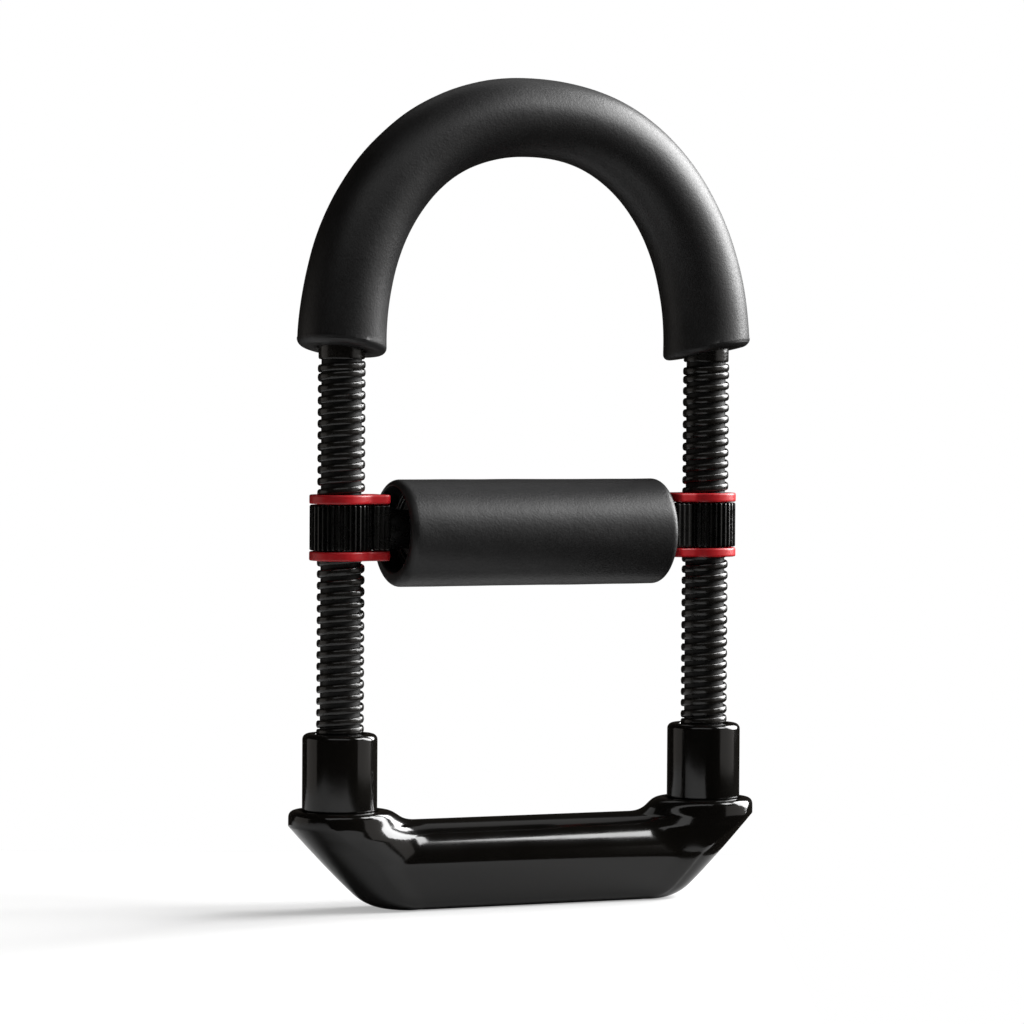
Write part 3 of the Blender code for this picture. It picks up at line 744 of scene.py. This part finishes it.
def make_wheel(side, sign):
    """A ring with narrow rounded ribs all round, softened at both rims."""
    count = WHEEL_RIBS * 16
    depth = 1.45 * MM
    half = WHEEL_HIGH.z - WHEEL_Z
    angle = np.arange(count) * 2 * np.pi / count
    # 1 on a rib's crest, 0 in the valley
    place = np.abs((angle * WHEEL_RIBS / (2 * np.pi)) % 1 - 0.5) * 2
    crest = np.clip((place - 0.50) / 0.22, 0, 1)
    crest = crest * crest * (3 - 2 * crest)
    outer = WHEEL_RADIUS - depth * (1 - crest)
    rows = []
    rim = 0.5 * MM
    for a in np.linspace(0, math.pi / 2, 6):
        rows.append((outer - rim * (1 - math.sin(a)), -half + rim * (1 - math.cos(a))))
    rows += [(outer, z) for z in np.linspace(-half + rim, half - rim, 8)[1:-1]]
    for a in np.linspace(math.pi / 2, 0, 6):
        rows.append((outer - rim * (1 - math.sin(a)), half - rim * (1 - math.cos(a))))
    bore = np.full(count, BORE_RADIUS)
    rows += [(bore, half), (bore, -half)]
    rings = []
    for radius, z in rows:
        x = radius * np.cos(angle) + sign * LEG_X
        rings.append(np.stack([x, radius * np.sin(angle), np.full(count, z + WHEEL_Z)], axis=1))
    wheel = loft(f"{side}_ribbed_wheel", rings, PLASTIC, closed=True, smooth_angle=50)
    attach(wheel, f"{side}_wheel")
    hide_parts(f"{side}_adjuster_wheel")


# ---------------------------------------------------------------- stage, lights and camera


VIEW_AZIMUTH = math.radians(25)
RIGHT = Vector((math.cos(VIEW_AZIMUTH), -math.sin(VIEW_AZIMUTH), 0))
AWAY = Vector((math.sin(VIEW_AZIMUTH), math.cos(VIEW_AZIMUTH), 0))
UP = Vector((0, 0, 1))
MIDDLE = Vector((0, 0, 0.12))  # of the object, where the lights aim
FLOOR_GLOW = 0.39  # added for the eye alone
FLOOR_CORNERS = ((-0.36, -0.32), (0.075, -0.32), (0.075, 0.14), (-0.36, 0.14))  # right and away


def make_stage():
    """A table top level with the sole, white to the eye and greyer in the object's reflections."""
    material = new_material("pale_floor", (0.48, 0.48, 0.48), 0.8)
    nodes, links = material.node_tree.nodes, material.node_tree.links
    shader = nodes["Principled BSDF"]
    shader.inputs["Specular IOR Level"].default_value = 0.1
    glow = nodes.new("ShaderNodeEmission")
    glow.inputs["Strength"].default_value = FLOOR_GLOW
    added = nodes.new("ShaderNodeAddShader")
    mix = nodes.new("ShaderNodeMixShader")
    path = nodes.new("ShaderNodeLightPath")
    links.new(shader.outputs["BSDF"], added.inputs[0])
    links.new(glow.outputs["Emission"], added.inputs[1])
    links.new(path.outputs["Is Camera Ray"], mix.inputs["Fac"])
    links.new(shader.outputs["BSDF"], mix.inputs[1])
    links.new(added.outputs["Shader"], mix.inputs[2])
    links.new(mix.outputs["Shader"], nodes["Material Output"].inputs["Surface"])
    corners = [RIGHT * right + AWAY * away for right, away in FLOOR_CORNERS]
    points = [(corner.x, corner.y, -0.03 * MM) for corner in corners]
    make_object("pale_floor", points, [[0, 1, 2, 3]], material)


def aim(obj, target):
    direction = Vector(target) - obj.location
    obj.rotation_mode = "QUATERNION"
    obj.rotation_quaternion = direction.to_track_quat("-Z", "Y")


def add_light(name, light, right, up, away):
    """Places are metres to the right, up and away as the camera sees them, from the object's middle."""
    obj = bpy.data.objects.new(name, light)
    obj.location = MIDDLE + RIGHT * right + UP * up + AWAY * away
    bpy.context.scene.collection.objects.link(obj)
    aim(obj, MIDDLE)


def panel(name, right, up, away, width, height, radiance, colour=(1, 1, 1)):
    """A softbox that faces the object; radiance is its brightness, whatever its size."""
    light = bpy.data.lights.new(name, "AREA")
    light.shape = "RECTANGLE"
    light.size = width
    light.size_y = height
    light.energy = radiance * math.pi * width * height
    light.color = colour
    add_light(name, light, right, up, away)


def make_lights():
    """A window on the right, a key light above it, and dim panels for the gloss to reflect."""
    sun = bpy.data.lights.new("window", "SUN")
    sun.energy = 8.5
    sun.angle = math.radians(48)
    add_light("window", sun, 0.85, 0.46, 0.42)
    panel("key_panel", 0.69, 0.59, -0.155, 0.34, 0.3, 14.0)
    panel("right_panel", 0.85, 0.03, -0.1, 0.9, 0.4, 0.6, (1, 0.96, 0.92))
    panel("left_panel", -0.9, -0.02, 0.05, 0.7, 0.5, 0.42, (1, 0.94, 0.88))
    panel("top_front_panel", -0.05, 0.5, -0.52, 0.8, 0.26, 1.1)
    panel("top_back_panel", 0.1, 0.7, 0.45, 0.8, 0.4, 0.4)


def make_world():
    """White to the eye, and a dim warm room in the reflections."""
    world = bpy.data.worlds.new("studio")
    world.use_nodes = True
    nodes, links = world.node_tree.nodes, world.node_tree.links
    nodes.clear()
    output = nodes.new("ShaderNodeOutputWorld")
    mix = nodes.new("ShaderNodeMixShader")
    room = nodes.new("ShaderNodeBackground")
    room.inputs["Color"].default_value = (1.0, 0.86, 0.72, 1)
    room.inputs["Strength"].default_value = 0.02
    white = nodes.new("ShaderNodeBackground")
    white.inputs["Color"].default_value = (1, 1, 1, 1)
    white.inputs["Strength"].default_value = 1.0
    path = nodes.new("ShaderNodeLightPath")
    links.new(path.outputs["Is Camera Ray"], mix.inputs["Fac"])
    links.new(room.outputs["Background"], mix.inputs[1])
    links.new(white.outputs["Background"], mix.inputs[2])
    links.new(mix.outputs["Shader"], output.inputs["Surface"])
    bpy.context.scene.world = world
    bpy.context.scene.view_settings.view_transform = "Standard"


def make_camera():
    distance = 1.4
    eye_height = 0.1627
    target = Vector((0, 0, 0.1217)) - RIGHT * 0.0045
    tilt = math.radians(0.35)  # the camera is held a little off level
    camera = bpy.data.cameras.new("photo_camera")
    camera.sensor_width = 36
    camera.lens = 158.4
    obj = bpy.data.objects.new("photo_camera", camera)
    obj.location = target - AWAY * distance
    obj.location.z = eye_height
    bpy.context.scene.collection.objects.link(obj)
    aim(obj, target)
    obj.rotation_quaternion = obj.rotation_quaternion @ Quaternion((0, 0, 1), tilt)
    bpy.context.scene.camera = obj


# ---------------------------------------------------------------- the whole


def main():
    make_rod()
    make_arch_foam()
    make_base()
    make_handle_foam()
    make_core()
    for side, sign in SIDES.items():
        make_collar(side, sign)
        make_spring(side, sign)
        make_stop(side, sign)
        make_plug(side, sign)
        make_plate(side, sign, "upper")
        make_plate(side, sign, "lower")
        make_hub(side, sign)
        make_wheel(side, sign)
        for node in ("spring_seat", "stop_pin", "leg_pin", "hub_pin"):
            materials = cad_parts[f"{side}_{node}"].data.materials
            materials.clear()
            materials.append(STEEL)
    make_stage()
    make_lights()
    make_world()
    make_camera()


main()
